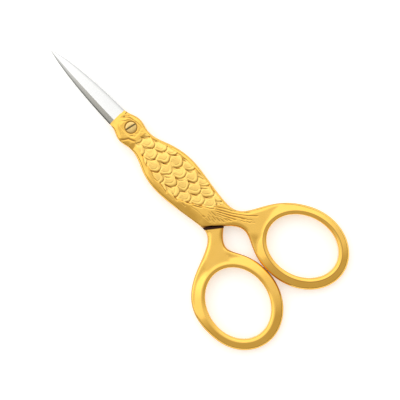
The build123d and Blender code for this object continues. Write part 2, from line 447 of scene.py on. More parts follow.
# The bow's bar is highest near the finger hole and slopes away from there
BOW_RIDGE = 1.15
BOW_CHAMFER = 0.24
BOW_SLOPE = 0.42
HOLE_LIP = 0.3
HOLE_LIP_DROP = 0.25
NECK_SLOPE = 0.42
FACET_SLOPE = 0.24
NECK_BEVEL = [(4.5, -2.2), (6.0, -3.0), (8.7, -4.0), (10.0, -4.9), (12.0, -5.3), (14.0, -5.7), (17.0, -6.4)]
FACET_EDGE = [(26.0, -6.1), (28.0, -5.4), (31.0, -4.6), (35.5, -4.15), (39.0, -4.1)]
BORE_RADIUS = {1: 1.23, -1: 1.21}
BORE_EDGE = 0.25
SEAT_RADIUS = 1.95
SEAT_Z = 1.5
SEAT_LIP = 0.12
# Painted shade on the gilding: how dark by the seat, ridge, rim, tail's end and gap, and how wide its dark edges are
DARK_EDGE = 0.3
SEAT_DARK = 0.18
RIDGE_DARK = 0.17
RIM_DARK = 0.15
TAIL_END_DARK = 0.19
GAP_DARK = 0.33
# Painted light on the gilding: a highlight on the scales, shade in the lines and near-black shadow in the tail's gap
GILT_DARK = (0.92, 0.53, 0.09, 1.0)
GILT_LIGHT = (0.98, 0.61, 0.15, 1.0)
GILT_FIELD_HIGHLIGHT = (0.98, 0.64, 0.17, 1.0)
GILT_SHADE = (0.42, 0.20, 0.035, 1.0)
GILT_DEEP_SHADOW = (0.045, 0.018, 0.012, 1.0)
GILT_ROUGHNESS = (0.06, 0.19)
SHADE_FROM_TO = (0.05, 0.26)
SHADE_MOST = 0.85
DEEP_SHADOW_FROM_TO = (0.28, 0.42)


def evenly(points, step):
    """The same open line with points about every step, without its last point."""
    along = np.r_[0.0, np.cumsum(np.hypot(*np.diff(points, axis=0).T))]
    at = np.linspace(0.0, along[-1], max(2, round(along[-1] / step) + 1))[:-1]
    return np.c_[np.interp(at, along, points[:, 0]), np.interp(at, along, points[:, 1])]


def unit(v):
    return v / hypot(*v)


def bezier(a, b, c, d):
    """A cubic curve from its four control points."""
    t = np.linspace(0.0, 1.0, CURVE_POINTS)[:, None]
    return (1 - t) ** 3 * a + 3 * t * (1 - t) ** 2 * b + 3 * t ** 2 * (1 - t) * c + t ** 3 * d


def smooth_step(low, high, x):
    """0 up to low, 1 from high, and smooth between. Low may be above high."""
    t = np.clip((x - low) / (high - low), 0.0, 1.0)
    return t * t * (3 - 2 * t)


# The runs of a half's outline, in order. The far edge follows them.
PLATING, NEAR, OUTER, RIM, CROTCH, TAIL_END = range(6)


def half_outline(side):
    """One half's outline in runs, and its finger hole's rings and reach."""
    bar, hole_length, hole_width, drop, tilt, outer_angle, outer_shares, crotch_angle, crotch_shares = BOWS[side]
    (left, left_end), (right, right_end) = [
        fair_line([(most * s, PLATING_Y - BODY_LENGTH * a) for a, s in edge], EDGE_POINTS)
        for most, edge in ((-BREAST_REACH, LEFT_EDGE), (BACK_REACH, RIGHT_EDGE))]
    near, near_end, far = (right, right_end, left) if side > 0 else (left, left_end, right)
    length, width = hole_length + bar, hole_width + bar
    reach = hypot(length * sin(radians(tilt)), width * cos(radians(tilt)))
    centre = np.array((SEAM_X + side * (BOW_GAP / 2 + reach), TAIL_POINT[1] - drop))
    turn = radians(side * tilt - 90.0)
    axes = np.array(((cos(turn), sin(turn)), (-sin(turn), cos(turn))))
    angles = np.linspace(radians(side * outer_angle), -radians(side * crotch_angle), RIM_POINTS)
    rim = centre + np.c_[length * np.cos(angles), width * np.sin(angles)] @ axes
    size = 2 * length
    outer = bezier(near[-1], near[-1] + unit(near_end) * size * outer_shares[1],
                   rim[0] - unit(rim[1] - rim[0]) * size * outer_shares[0], rim[0])
    crotch = bezier(rim[-1], rim[-1] + unit(rim[-1] - rim[-2]) * size * crotch_shares[0],
                    TAIL_POINT + unit(TAIL_POINT - far[-1]) * size * crotch_shares[1], TAIL_POINT)
    runs = [np.array((far[0], near[0])), near, outer, rim, crotch, np.array((TAIL_POINT, far[-1])), far[::-1]]
    hole_centre = centre + BOW_HEEL * np.array((side, 1.0))

    def hole(grow):
        turns = np.linspace(0.0, tau, HOLE_POINTS, endpoint=False)
        return hole_centre + np.c_[(hole_length + grow) * np.cos(turns), (hole_width + grow) * np.sin(turns)] @ axes

    def hole_reach(points):
        """Rough distance outside the finger hole."""
        u, v = ((points - hole_centre) @ axes.T).T
        r = np.hypot(u / hole_length, v / hole_width)
        return (r - 1) * np.hypot(u, v) / np.maximum(r, 1e-6)

    return runs, hole, hole_reach


def nearest(points, a, b, scale):
    """For each point, the least distance to segments a-b divided by their scale, and which segment it is."""
    best = np.full(len(points), 1e9)
    which = np.zeros(len(points), int)
    ab = b - a
    long2 = (ab ** 2).sum(1)
    for start in range(0, len(points), 4000):
        p = points[start:start + 4000]
        t = np.clip(((p[:, None] - a) * ab).sum(2) / long2, 0.0, 1.0)
        away = np.hypot(*np.moveaxis(p[:, None] - a - t[..., None] * ab, 2, 0)) / scale
        which[start:start + 4000] = away.argmin(1)
        best[start:start + 4000] = away.min(1)
    return best, which


def inside(points, loop):
    """Whether points lie in a closed loop."""
    x, y = points.T
    result = np.zeros(len(points), bool)
    for (x0, y0), (x1, y1) in zip(loop, np.roll(loop, -1, axis=0)):
        if y0 != y1:
            result ^= ((y0 > y) != (y1 > y)) & (x < (x1 - x0) * (y - y0) / (y1 - y0) + x0)
    return result


def line_distance(points, line):
    """Distance from points to an open line."""
    line = np.array(line, float)
    return nearest(points, line[:-1], line[1:], np.ones(len(line) - 1))[0]


def rounding(x):
    """The rise of a rounded edge, from 0 on the outline to 1 where the rounding ends."""
    return np.sqrt(1 - (1 - np.clip(x, 0.0, 1.0)) ** 2)


# Lines cut with the graver: points, half width and depth. A line is shallower at its ends.
LINE_ENDS = 0.75
LINE_GAIN = 0.5
LINE_ENDS_REACH = 0.6
HEAD_LINES = [
    ([(-0.1, 4.7), (0.7, 4.6), (1.6, 4.35)], 0.24, 0.08),
    ([(1.3, 3.5), (1.8, 2.75), (2.05, 2.0), (2.2, 0.9)], 0.30, 0.16),
    ([(2.2, 0.9), (2.4, -0.6), (2.35, -1.8), (2.2, -2.7)], 0.24, 0.09),
    ([(-0.7, 3.8), (-0.1, 3.2), (0.2, 2.6)], 0.26, 0.13),
    ([(-0.9, 3.5), (-1.3, 3.0)], 0.17, 0.08),
    ([(-1.7, 3.5), (-2.2, 3.0)], 0.17, 0.08),
    ([(-2.6, 1.8), (-2.9, 1.3)], 0.15, 0.06),
    ([(-3.5, 0.9), (-3.7, 0.4)], 0.15, 0.07),
    ([(-2.9, 0.3), (-3.0, -0.1)], 0.15, 0.08),
    ([(-4.9, -0.5), (-4.2, -1.2), (-3.1, -1.9), (-2.7, -3.0), (-2.2, -4.1)], 0.46, 0.17),
    ([(-1.9, -1.8), (-1.5, -2.3)], 0.26, 0.13),
    ([(-0.8, -1.95), (0.1, -2.85)], 0.20, 0.10),
    ([(0.9, -2.6), (1.5, -3.7)], 0.18, 0.06),
    ([(-2.5, -5.0), (-2.2, -5.7)], 0.28, 0.15),
    ([(-4.6, -2.4), (-4.1, -4.0)], 0.18, 0.06),
]
HEAD_HOLLOW = np.array([(-1.6, 4.4), (-0.8, 3.75), (0.3, 3.05), (1.4, 2.35), (2.3, 1.3), (2.6, 0.1), (2.5, -1.3),
                        (2.0, -2.8), (0.4, -3.3), (-1.6, -3.2), (-2.5, -2.2), (-2.7, -0.6), (-2.6, 1.4), (-2.3, 3.2)])
HEAD_HOLLOW_DEPTH = 0.10
HEAD_HOLLOW_EDGE = 0.3
FIELD_LEFT = [(-2.9, -3.9), (-3.3, -6.0), (-4.2, -8.7), (-4.9, -10.4), (-5.3, -12.0), (-5.8, -14.5), (-6.3, -17.0),
              (-6.6, -20.0), (-6.5, -23.0), (-6.2, -26.0)]
FIELD_RIGHT = [(4.9, -26.0), (5.1, -20.0), (4.9, -17.0), (3.9, -12.0), (2.9, -8.5), (2.2, -5.5), (2.0, -4.2)]
FIELD_TAIL = [(-5.4, -27.4), (-4.9, -28.6), (-3.9, -30.5), (-2.7, -32.7), (-1.6, -34.0), (-0.9, -35.1), (-0.1, -36.0),
              (0.8, -36.2), (2.0, -37.1), (3.2, -38.4), (3.6, -35.5), (4.4, -31.0)]
BORDER_LINES = [
    ([(-2.9, -6.3), (-3.7, -8.4)], 0.16, 0.07), ([(-3.7, -8.3), (-3.9, -9.1)], 0.24, 0.15),
    ([(-4.6, -9.6), (-5.1, -11.2)], 0.16, 0.07), ([(-5.1, -11.4), (-5.3, -12.3)], 0.24, 0.15),
    ([(-5.2, -13.2), (-5.6, -14.4)], 0.22, 0.12),
    ([(-5.9, -14.8), (-6.4, -16.4), (-6.2, -18.0)], 0.22, 0.13),
    ([(-6.1, -18.6), (-6.4, -20.2), (-6.9, -22.1)], 0.28, 0.17),
    ([(-5.6, -23.3), (-6.0, -24.6), (-6.2, -25.6)], 0.26, 0.15), ([(-6.2, -25.4), (-6.2, -26.2)], 0.34, 0.20),
    ([(-6.9, -23.0), (-7.1, -25.0)], 0.16, 0.07), ([(-7.3, -19.5), (-7.5, -22.0)], 0.14, 0.05),
]
TAIL_LINES = [
    ([(-5.3, -27.1), (-5.0, -27.6)], 0.30, 0.17), ([(-5.8, -28.0), (-5.9, -29.2)], 0.26, 0.12),
    ([(-5.0, -28.1), (-4.4, -29.2), (-3.9, -30.2)], 0.30, 0.18),
    ([(-3.9, -30.8), (-3.3, -32.0), (-2.6, -33.2)], 0.32, 0.18),
    ([(-2.0, -33.5), (-1.5, -34.2), (-1.0, -35.2), (-0.2, -36.2)], 0.28, 0.14),
    ([(-4.7, -30.4), (-4.2, -33.0), (-4.2, -35.4), (-4.1, -38.0)], 0.26, 0.07),
    ([(-4.2, -35.3), (-4.0, -36.0)], 0.34, 0.15),
    ([(2.3, -34.9), (3.25, -36.4)], 0.24, 0.09), ([(2.1, -36.4), (2.85, -37.8)], 0.24, 0.09),
    ([(0.3, -35.9), (0.9, -36.6), (2.0, -38.3), (3.4, -40.7), (4.4, -42.0)], 0.24, 0.14),
    ([(0.2, -36.8), (1.5, -39.2), (2.7, -41.3), (3.8, -42.8), (5.6, -45.3), (7.7, -47.6)], 0.26, 0.15),
    ([(-0.2, -37.4), (0.9, -39.6), (2.05, -41.7), (3.1, -43.4), (4.4, -45.6)], 0.26, 0.16),
    ([(-0.5, -38.2), (0.4, -40.2), (1.45, -42.3), (2.1, -43.6)], 0.25, 0.15),
    ([(-0.9, -38.6), (-0.4, -40.0)], 0.22, 0.10),
    ([(5.4, -43.6), (7.4, -45.4), (9.8, -47.2)], 0.24, 0.06), ([(4.8, -43.4), (6.4, -45.2)], 0.20, 0.06),
    ([(-3.3, -36.7), (-3.7, -38.2)], 0.24, 0.12), ([(-2.7, -36.2), (-2.9, -37.6)], 0.20, 0.09),
    ([(-2.0, -35.8), (-2.1, -37.1)], 0.20, 0.09), ([(-2.2, -37.5), (-2.4, -39.2)], 0.22, 0.12),
    ([(-1.4, -36.4), (-1.4, -38.2)], 0.24, 0.13), ([(-1.7, -38.7), (-1.7, -40.4)], 0.24, 0.13),
    ([(-3.0, -38.0), (-3.1, -39.4)], 0.20, 0.10), ([(-1.0, -39.9), (-1.0, -41.5)], 0.24, 0.13),
    ([(-0.1, -40.7), (0.1, -42.1)], 0.24, 0.13), ([(0.4, -41.2), (0.8, -42.8)], 0.26, 0.15),
    ([(3.4, -44.2), (4.1, -45.6)], 0.22, 0.13), ([(3.0, -44.8), (3.7, -46.1)], 0.20, 0.11),
    ([(4.5, -45.7), (4.9, -46.6)], 0.20, 0.12), ([(4.1, -46.4), (4.6, -47.6)], 0.20, 0.12),
    ([(5.2, -46.6), (5.7, -47.6)], 0.20, 0.10), ([(4.9, -47.4), (5.6, -48.4)], 0.20, 0.09),
]
# Strokes of the graver under the tips of the scales
TIP_LINES = [(stroke, 0.27, 0.13) for stroke in (
    [(-0.1, -4.2), (0.4, -5.3), (1.3, -6.0)], [(2.2, -8.2), (2.5, -9.1)], [(-1.2, -7.6), (-0.5, -8.8)],
    [(3.9, -12.4), (4.4, -13.3)], [(0.4, -10.9), (0.8, -12.1), (1.4, -12.9)],
    [(-2.9, -10.6), (-2.7, -11.5), (-1.6, -12.5)], [(-1.2, -13.9), (-0.9, -15.3), (-0.2, -16.2)],
    [(2.8, -15.2), (4.1, -16.7)], [(4.0, -18.7), (4.3, -19.8)], [(0.4, -18.1), (0.9, -19.3), (1.8, -20.1)],
    [(-5.2, -14.4), (-4.7, -15.5), (-3.6, -15.9)], [(-3.7, -18.5), (-2.7, -19.7)],
    [(2.5, -21.5), (2.7, -22.9), (3.3, -23.5)], [(-1.6, -21.0), (-1.4, -22.3), (-0.4, -23.3)],
    [(0.2, -24.2), (1.0, -26.0), (1.65, -26.7)], [(3.7, -25.9), (4.2, -27.7)], [(1.3, -28.7), (3.0, -30.5)],
    [(-5.4, -20.1), (-4.7, -22.6)], [(-3.7, -24.8), (-2.4, -26.6)], [(-1.8, -27.8), (-0.8, -30.0)],
    [(0.4, -31.4), (1.1, -32.9), (2.1, -33.6)])]
# On the back half the tail turns the other way, so its lines are turned over about the middle of the body
TURNED_ABOUT = -2.8


def turned_over(points):
    return [(TURNED_ABOUT - x, y) for x, y in points]


def half_piece(name, side):
    """One handle, carved on its outer face. Side 1 is the front half, and -1 the back half, face down."""
    runs, hole, hole_reach = half_outline(side)
    samples = [evenly(run, OUTLINE_STEP) for run in runs]
    outline = np.vstack(samples)
    kind = np.repeat(np.arange(len(samples)), [len(run) for run in samples])
    tail_end = runs[TAIL_END]
    near_corner = runs[NEAR][-1]
    if side > 0:
        field_edge, lines = FIELD_LEFT + FIELD_TAIL + FIELD_RIGHT, HEAD_LINES + BORDER_LINES + TAIL_LINES + TIP_LINES
    else:
        field_edge = FIELD_LEFT + turned_over(FIELD_TAIL[::-1]) + FIELD_RIGHT
        lines = HEAD_LINES + BORDER_LINES + [(turned_over(points), *size) for points, *size in TAIL_LINES]

    # How far in each stretch of the outline is rounded, and how high its wall stands
    from_end = line_distance(outline, tail_end)
    freed = smooth_step(*FREED, from_end)
    freed[kind == TAIL_END] = 0.0
    body = smooth_step(*TAIL_TO_BODY, outline[:, 1])
    in_bow = smooth_step(*INTO_BOW, hole_reach(outline))
    at_neck = ((outline[:, 0] < 0) * smooth_step(*NECK_BEGINS, outline[:, 1])
               * smooth_step(*NECK_ENDS, outline[:, 1]))
    reach = 1.0 + freed * (ROUND_REACH - 1.0 + BODY_REACH_MORE * body - BOW_REACH_LESS * (1 - body))
    reach += (BOW_EDGE - reach) * in_bow + (NECK_EDGE - reach) * at_neck
    wall = (BOW_WALL + (BODY_WALL - BOW_WALL) * body) * freed + TAIL_END_WALL * (1 - freed)
    next_point = np.roll(outline, -1, axis=0)
    free = np.isin(kind, (OUTER, RIM, CROTCH))
    free_a, free_b, free_reach = outline[free], next_point[free], np.maximum(reach, LEAST_REACH)[free]
    free_reach += (BOW_EDGE - free_reach) * in_bow[free]
    keep = kind != PLATING
    a, b = outline[keep], next_point[keep]
    reach_k, wall_k = reach[keep], wall[keep]

    bore = BORE_RADIUS[side]
    turns = np.linspace(0.0, tau, EYE_POINTS, endpoint=False)
    circle = np.c_[np.cos(turns), np.sin(turns)]

    def hole_ring(grow):
        return evenly(np.vstack([hole(grow), hole(grow)[:1]]), OUTLINE_STEP)

    loops = [outline, hole_ring(0.0), circle * bore]

    def clear_of(points, edge_gap):
        """Points well inside the outline and outside its holes."""
        points = points[inside(points, outline)]
        away = nearest(points, outline, next_point, np.ones(len(outline)))[0]
        return points[(away > edge_gap) & (hole_reach(points) > edge_gap)
                      & (np.hypot(*points.T) > bore + min(edge_gap, 0.02))]

    # Rows of points beside every edge, then a grid, fine where the graver works
    inward = []
    run_on = next_point - outline
    normals = np.c_[-run_on[:, 1], run_on[:, 0]] / np.hypot(*run_on.T)[:, None]
    normals = normals + np.roll(normals, 1, axis=0)
    normals /= np.hypot(*normals.T)[:, None]
    area = (outline[:, 0] * np.roll(outline[:, 1], -1) - outline[:, 1] * np.roll(outline[:, 0], -1)).sum() / 2
    normals *= np.sign(area)
    for depth in EDGE_ROWS:
        ring = outline + normals * depth
        if depth > DEEP_ROWS:
            ring = ring[outline[:, 1] < DEEP_ROWS_TO]
        inward.append(clear_of(ring, depth * 0.96))
        inward.append(clear_of(hole_ring(depth), depth * 0.9))
    inward += [circle * r for r in (bore + 0.12, 1.6, *(SEAT_RADIUS + further for further in EYE_ROWS))]
    beside = np.vstack(inward)

    def grid(step, low, high):
        xs = np.arange(low[0], high[0], step)
        ys = np.arange(low[1], high[1], step * GRID_ROW_SHARE)
        gx, gy = np.meshgrid(xs, ys)
        gx[::2] += step / 2
        return np.c_[gx.ravel(), gy.ravel()]

    fine = grid(FINE_STEP, (outline[:, 0].min(), FINE_FROM), (outline[:, 0].max(), PLATING_Y))
    fine = fine[(fine[:, 1] > FINE_FROM) & (side * fine[:, 0] > FINE_LEFT) & (side * fine[:, 0] < FINE_RIGHT)]
    fine = clear_of(fine, FINE_CLEAR)
    fine = fine[np.hypot(*fine.T) > SEAT_RADIUS + EYE_CLEAR]
    coarse = clear_of(grid(COARSE_STEP, outline.min(0), outline.max(0)), COARSE_CLEAR)
    in_fine = (coarse[:, 1] > COARSE_FROM) & (side * coarse[:, 0] < COARSE_RIGHT)
    top_points = np.vstack([beside, fine, coarse[~in_fine]])
    coarse_low = coarse[np.hypot(*coarse.T) > SEAT_RADIUS + EYE_CLEAR]

    # On the inner face, rows beside the step where the gap under the tail's end stops
    along = unit(near_corner - TAIL_POINT)
    across = np.array((-along[1], along[0]))
    across *= -np.sign(across[1])
    tail_length = hypot(*(near_corner - TAIL_POINT))
    span = np.arange(-1.0, tail_length + 1.0, STEP_ROW_STEP)

    def gap_at(run):
        """How wide the gap under the tail's end is, along it from the tail point."""
        return np.interp(run, [0.0, tail_length], TAIL_GAP)

    step_rows = [clear_of(TAIL_POINT + along * span[:, None] + across * (gap_at(span) + further)[:, None], 0.03)
                 for further in STEP_ROWS]
    low_points = np.vstack([beside[np.hypot(*beside.T) >= INNER_ROWS_FROM], coarse_low, *step_rows])

    def sheet(points):
        """A flat sheet of triangles over the outline, less its holes. Its first points are the loops."""
        rims = np.vstack(loops)
        everything = np.vstack([rims, points])
        first = np.cumsum([0] + [len(loop) for loop in loops])
        rounds = [list(range(first[i], first[i + 1])) for i in range(len(loops))]
        ties = [(r[i - 1], r[i]) for r in rounds[1:] for i in range(len(r))]
        made = delaunay_2d_cdt([Vector(p) for p in everything.tolist()], ties, [rounds[0]], 1, 1e-7, True)
        flat = np.array([tuple(v) for v in made[0]])
        triangles = np.array([f for f in made[2] if len(f) == 3])
        centres = flat[triangles].mean(1)
        in_hole = (hole_reach(centres) < -0.0005) | (np.hypot(*centres.T) < bore * 0.998)
        triangles = triangles[~in_hole & inside(centres, outline)]
        place_of = {}
        for index, sources in enumerate(made[3]):
            for source in sources:
                place_of[source] = index
        return flat, triangles, [[place_of[i] for i in r] for r in rounds]

    def hole_side(from_hole):
        """How full the bow's bar is near the finger hole: an upright wall, then a chamfer up to the ridge."""
        slope = 1 - BOW_CHAMFER * np.clip(1 - from_hole / BOW_RIDGE, 0, 1)
        return slope - HOLE_LIP_DROP * np.clip(1 - from_hole / HOLE_LIP, 0, 1) ** 2

    def bow_top(top, from_edge, from_hole, y):
        """The height of shank and bow: a ridge round the finger hole, which slopes away to a lower shank."""
        bow = smooth_step(*BOW_BEGINS, y)
        ridge = BAR_TOP - BOW_SLOPE * np.maximum(from_hole - BOW_RIDGE, 0.0)
        shank = SHANK_LEAST + (SHANK_TOP - SHANK_LEAST) * smooth_step(*SHANK_WIDENS, from_edge + from_hole)
        higher = (ridge + shank + np.hypot(ridge - shank, SHANK_BLEND)) / 2
        return top + (np.minimum(higher, top) - top) * bow

    def outer_height(p):
        """The height of the carved face, how deep the graver has cut with painted shade added, and where the scales
        lie.
        """
        x, y = p.T
        near_edge, which = nearest(p, a, b, reach_k)
        out = rounding(near_edge)
        from_hole = hole_reach(p)
        hump = smooth_step(*BODY_BEGINS, y) * smooth_step(*BODY_ENDS, y)
        crown = np.clip(1 - ((x - CROWN_MIDDLE) / CROWN_HALF) ** 2, 0, 1)
        top = BAR_TOP + (CROWN_TOP - BAR_TOP) * hump * crown
        top = bow_top(top, near_edge * reach_k[which], from_hole, y)
        # The neck is bevelled along the breast, and the belly is filed to a facet
        bevel = np.clip(np.interp(-y, *np.array(NECK_BEVEL).T) - x, 0, 3)
        top = top - NECK_SLOPE * bevel * smooth_step(*NECK_BEGINS, y) * smooth_step(*BEVEL_ENDS, y)
        tail_x = x if side > 0 else TURNED_ABOUT - x
        facet = np.clip(np.interp(-y, *np.array(FACET_EDGE).T) - tail_x, 0, 4)
        top = top - FACET_SLOPE * facet * smooth_step(*FACET_BEGINS, y)
        height = wall_k[which] + (top - wall_k[which]) * out * hole_side(from_hole)
        # By the plating line the head falls to the blade's facets
        spine, edge = (LEFT_ROOT, RIGHT_ROOT) if side > 0 else (RIGHT_ROOT, LEFT_ROOT)
        toward_edge = np.sign(edge - spine)
        from_ridge = (x - spine - (edge - spine) * RIDGE_PLACE) * toward_edge + (PLATING_Y - y) * HEAD_ROOF_SHIFT
        lean = np.where(from_ridge < 0, RIDGE_HEIGHT * (1 - SPINE_WALL) / RIDGE_PLACE,
                        (RIDGE_HEIGHT - EDGE_LAND) / (1 - RIDGE_PLACE)) / abs(edge - spine) * np.abs(from_ridge)
        roof = RIDGE_HEIGHT + HEAD_ROOF_LIFT - lean + (PLATING_Y - y) * HEAD_ROOF_RISE
        roof = np.clip(roof, *HEAD_ROOF_LIMITS)
        height = height + (roof - height) * smooth_step(*HEAD_ROOF, y)
        from_rim = line_distance(p, np.vstack([HEAD_HOLLOW, HEAD_HOLLOW[:1]]))
        height = height - HEAD_HOLLOW_DEPTH * inside(p, HEAD_HOLLOW) * smooth_step(0.0, HEAD_HOLLOW_EDGE, from_rim)
        cut_and_shade = np.zeros(len(p))
        for points, half_width, depth in lines:
            points = np.array(points)
            nearby = ((p > points.min(0) - 1) & (p < points.max(0) + 1)).all(1)
            away = line_distance(p[nearby], points)
            ends = np.minimum(np.hypot(*(p[nearby] - points[0]).T), np.hypot(*(p[nearby] - points[-1]).T))
            deep = depth * (LINE_ENDS + LINE_GAIN * smooth_step(0.0, LINE_ENDS_REACH, ends))
            cut_and_shade[nearby] = np.maximum(cut_and_shade[nearby], deep * np.clip(1 - away / half_width, 0, 1))
        height = height - cut_and_shade
        from_pivot = np.hypot(x, y)
        if side > 0:
            height = np.where(from_pivot < SEAT_RADIUS, SEAT_Z,
                              height - SEAT_LIP * smooth_step(SEAT_RADIUS + 0.2, SEAT_RADIUS, from_pivot))
            # Painted shade in a ring round the screw's seat
            cut_and_shade = np.maximum(cut_and_shade, SEAT_DARK * smooth_step(SEAT_RADIUS + 0.3, SEAT_RADIUS - 0.1, from_pivot))
        else:
            height = height - BORE_EDGE * smooth_step(bore + BORE_EDGE, bore, from_pivot)
        # Painted shade darkens the gilding along the bow's ridge and the rim, and browns it at the tail's end
        cut_and_shade = np.maximum(cut_and_shade, RIDGE_DARK * smooth_step(DARK_EDGE, 0.0, np.abs(from_hole - BOW_RIDGE)))
        cut_and_shade = np.maximum(cut_and_shade, RIM_DARK * smooth_step(DARK_EDGE, 0.0, near_edge * reach_k[which]))
        cut_and_shade = np.maximum(cut_and_shade, TAIL_END_DARK * smooth_step(*TAIL_END_EDGE, line_distance(p, tail_end)))
        from_rim = line_distance(p, field_edge + field_edge[:1])
        field = inside(p, np.array(field_edge)) * smooth_step(*FIELD_EDGE, from_rim) * smooth_step(*FIELD_BEGINS, y)
        return height, cut_and_shade, field

    def inner_height(p):
        """The shear face, and past the tail's end the round underside of tail and bow, and the painted shade on each.
        """
        near_edge, which = nearest(p, free_a, free_b, free_reach)
        from_hole = hole_reach(p)
        run, off = (p - TAIL_POINT) @ along, (p - TAIL_POINT) @ across
        past = off > gap_at(run) + 0.02
        top = bow_top(np.full(len(p), BAR_TOP), near_edge * free_reach[which], from_hole,
                      p[:, 1] - UNDERSIDE_SHIFT)
        bar = BOW_WALL + (top - BOW_WALL) * rounding(near_edge) * hole_side(from_hole)
        in_gap = smooth_step(*GAP_NEAR, off) * smooth_step(*GAP_FAR, off - gap_at(run)) * (run > GAP_STARTS)
        # Painted shadow in the gap under the tail's end, and painted shade along the rim
        low_shade = np.maximum(GAP_DARK * in_gap, RIM_DARK * smooth_step(0.5, 0.0, near_edge * free_reach[which]))
        return np.where(past, -bar, INNER_FACE), low_shade

    flat_top, top_faces, top_rounds = sheet(top_points)
    flat_low, low_faces, low_rounds = sheet(low_points)
    height, cut_and_shade, field = outer_height(flat_top)
    low, low_shade = inner_height(flat_low)
    count = len(flat_top)
    vertices = np.vstack([np.c_[flat_top, height * side], np.c_[flat_low, low * side]])
    faces = top_faces.tolist() + (low_faces + count).tolist()
    for top_round, low_round in zip(top_rounds, low_rounds):
        for i in range(len(top_round)):
            faces.append([top_round[i - 1], top_round[i], low_round[i] + count, low_round[i - 1] + count])
    piece = solid_mesh(name, in_place(vertices), faces, gilding, HANDLE_SHARP_ANGLE)
    for label, values in (("cut_and_shade", np.r_[cut_and_shade, low_shade]), ("field", np.r_[field, 0 * low_shade])):
        layer = piece.data.attributes.new(label, "FLOAT", "POINT")
        layer.data.foreach_set("value", values.astype(np.float32))
    return piece


gilding, tree, shader, place = metal("gilding")
cloud = noise(tree, place, scale=220.0, detail=5.0)
# The scale field is painted paler as a highlight
lit_tone = mixed(tree, painted(tree, "field"), mixed(tree, cloud, GILT_DARK, GILT_LIGHT), GILT_FIELD_HIGHLIGHT)
# The hollow attribute is painted shade: dark in the cut lines, at the scales' feet, by the seat, ridge and rim, and
# in the tail's gap
shade_amount = painted(tree, "hollow")
shaded = mixed(tree, ranged(tree, shade_amount, *SHADE_FROM_TO, 0.0, SHADE_MOST), lit_tone, GILT_SHADE)
grain = bumped(tree, noise(tree, place, scale=2600.0, detail=3.0), strength=0.15, distance=0.00003)
# Polishing by hand leaves the gilding a little wavy
wave = noise(tree, place, scale=170.0, detail=0.0)
# Where the painted shade is deepest, in the tail's gap and the deepest lines, the gilding is painted near black as
# shadow
feed(tree, shader, {
    "Base Color": mixed(tree, ranged(tree, shade_amount, *DEEP_SHADOW_FROM_TO, 0.0, 1.0), shaded, GILT_DEEP_SHADOW),
    "Roughness": ranged(tree, cloud, 0.0, 1.0, *GILT_ROUGHNESS),
    "Normal": bumped(tree, wave, strength=0.4, distance=0.0004, Normal=grain)})

front_handle = half_piece("front_handle_carved", 1)
back_handle = half_piece("back_handle_carved", -1)

# The scales
# Rows of overlapping scales chased over the body of each half, tips towards the bows. Every other row is set half a
# scale over, and each scale slopes down to its root and to its sides, with a line inside its rim.
SCALE_SIZES = {"Row pitch": 3.41, "Scale width": 3.85, "Tip length": 2.7, "First tip": -2.35, "First centre": 0.28,
               "Row slope": 0.12, "Wander": 0.8, "Root drop": 0.46, "Side drop": 0.34, "Line depth": 0.07,
               "Line inset": 0.95, "Line width": 0.26, "Rim depth": 0.12, "Rim width": 0.42, "Foot depth": 0.15,
               "Foot width": 0.56, "Tilt": 0.26}
SCALE_SEED = 4
WANDER_SCALE = 300.0
TIP_CHANCE = 0.16
NUMBERS_A_ROW = 31.0
OUT_OF_REACH = 9.0
# How much painted shade falls at the scales' feet, in their lines, and from the face's cut-and-shade attribute
FOOT_DARK = 0.26
LINE_DARK = 0.05
CUT_DARK = 1.4


class Measure:
    """A number in the scale tree, worked out with math nodes."""

    def __init__(self, tree, socket):
        self.tree, self.socket = tree, socket

    def math(self, operation, *others):
        given = {place: other.socket if isinstance(other, Measure) else other
                 for place, other in enumerate((self, *others))}
        return Measure(self.tree, add_node(self.tree, "ShaderNodeMath", given, operation=operation).outputs[0])

    def __add__(self, other):
        return self.math("ADD", other)

    def __sub__(self, other):
        return self.math("SUBTRACT", other)

    def __mul__(self, other):
        return self.math("MULTIPLY", other)

    def __truediv__(self, other):
        return self.math("DIVIDE", other)

    def less_from(self, number):
        """A number less this one."""
        return (self * -1.0) + number


